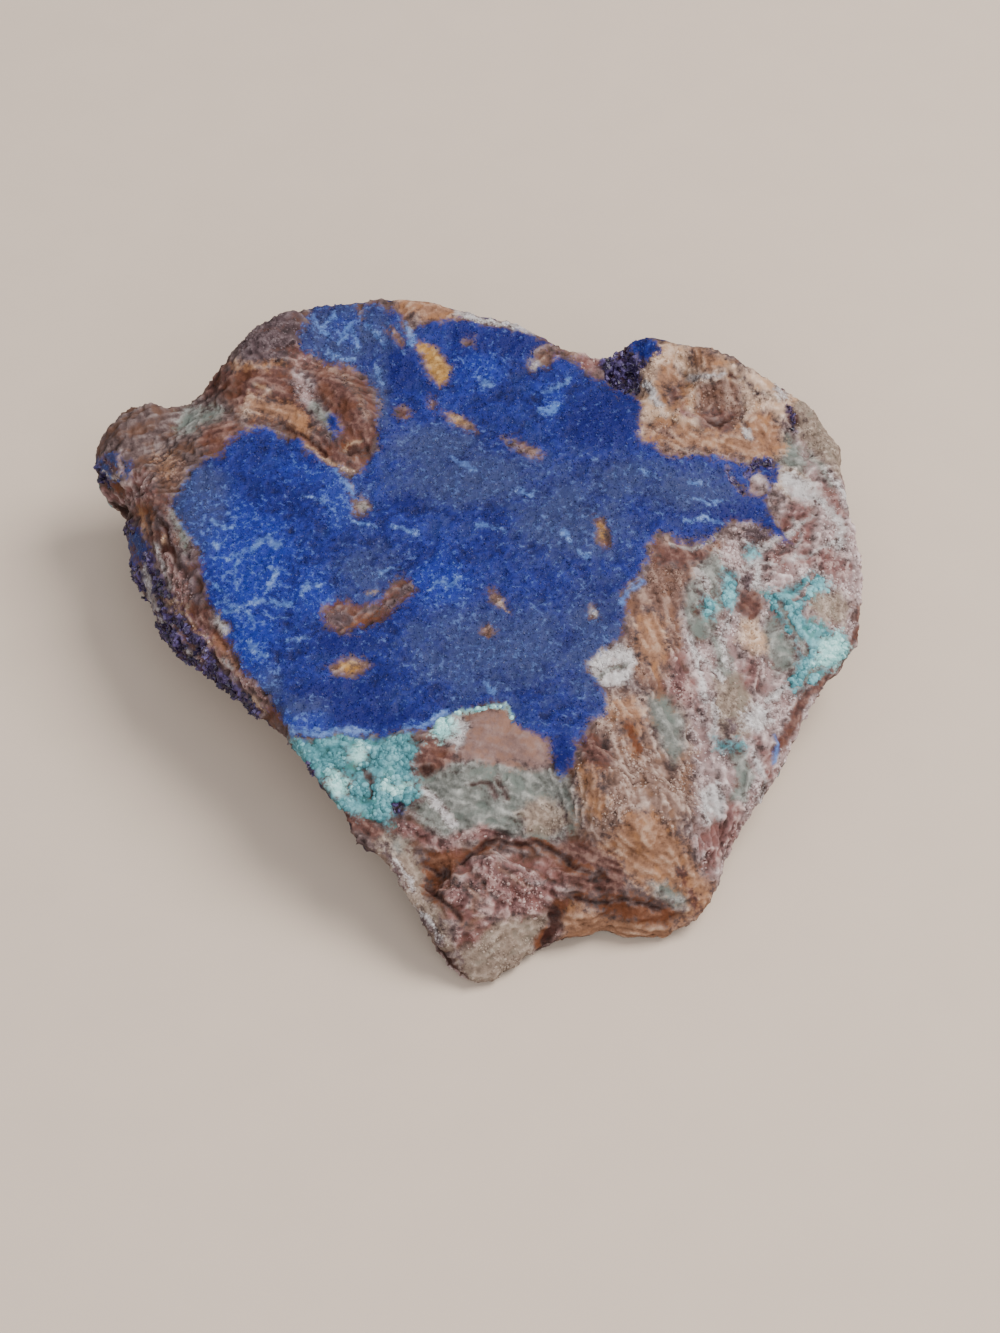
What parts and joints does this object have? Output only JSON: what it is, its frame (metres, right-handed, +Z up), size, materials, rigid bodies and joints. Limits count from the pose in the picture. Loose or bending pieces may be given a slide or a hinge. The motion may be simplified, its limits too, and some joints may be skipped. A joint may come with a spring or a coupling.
{
  "type": "azurite specimen",
  "caption": "Irregular hand-sized chunk of copper ore with a flat blue azurite face, rusty and green weathered margins, and a flat underside to rest on.",
  "frame": {"origin": "middle of the bounding box in plan, on the plane of the flat underside", "axes": "+Z up, away from the resting face; +X along the longest side, towards the shoulder with the malachite patch; +Y towards the thick raised rim"},
  "size_m": [0.0718, 0.0674, 0.0215],
  "materials": {
    "azurite": null
  },
  "bodies": {
    "root": {"azurite_specimen": "azurite"}
  },
  "joints": []
}
